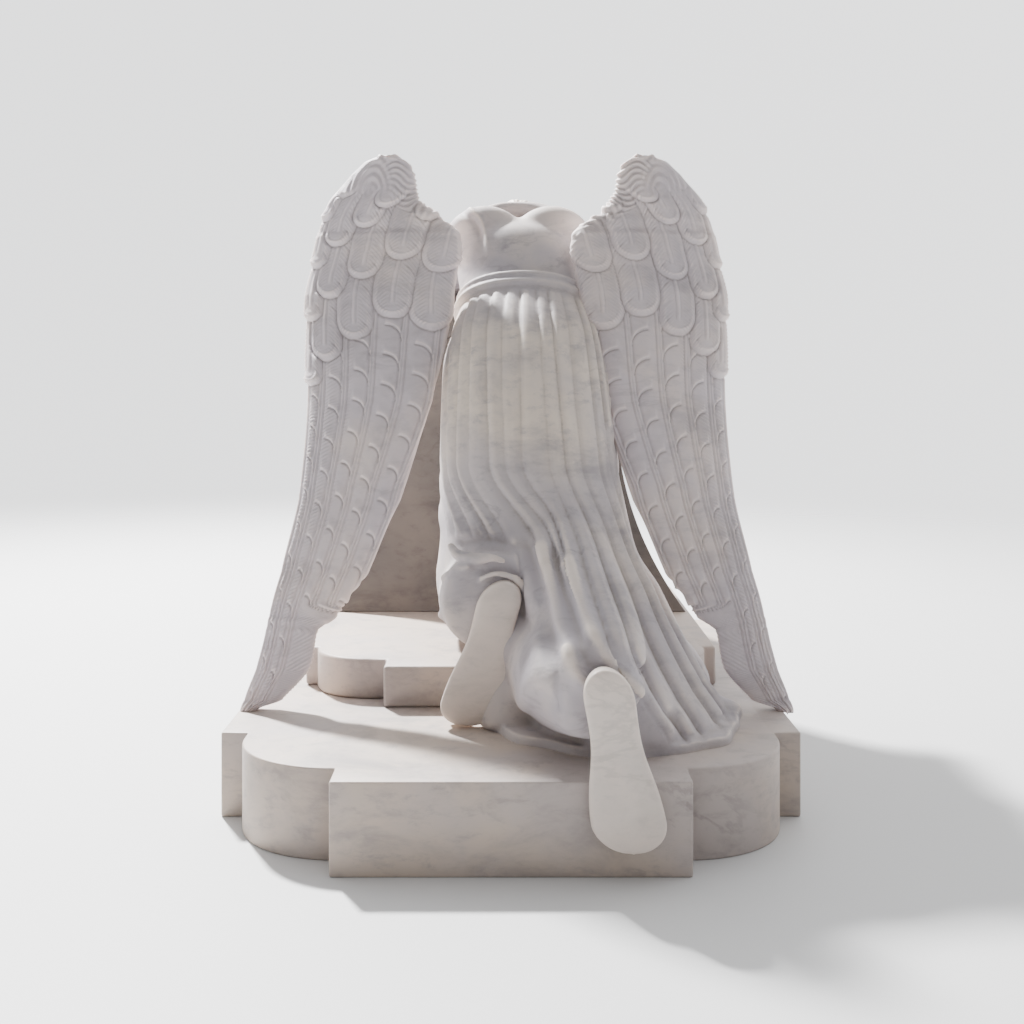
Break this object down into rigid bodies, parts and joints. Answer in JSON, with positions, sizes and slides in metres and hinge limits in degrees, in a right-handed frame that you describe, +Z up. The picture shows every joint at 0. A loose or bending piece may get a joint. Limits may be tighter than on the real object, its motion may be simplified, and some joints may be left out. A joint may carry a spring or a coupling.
{
  "type": "cemetery angel statue",
  "caption": "Kneeling winged angel in carved marble, praying at a waisted altar pedestal on a stepped base with lobed corners.",
  "frame": {"origin": "on the plinth's underside, in the plane between the wings", "axes": "+Z up, +Y from the angel's heels towards the altar pedestal, +X towards the angel's right"},
  "size_m": [1.118, 1.795, 1.344],
  "materials": {
    "base_marble": "honed white marble, warm cream with soft grey veins",
    "gown_marble": "smoothly carved white marble with a slight sheen",
    "wing_marble": "finely carved matt white marble, cool grey in the cuts"
  },
  "bodies": {
    "root": {"plinth": "base_marble", "upper_step": "base_marble", "pedestal": "base_marble", "angel": "gown_marble", "left_wing": "wing_marble", "right_wing": "wing_marble"}
  },
  "joints": []
}
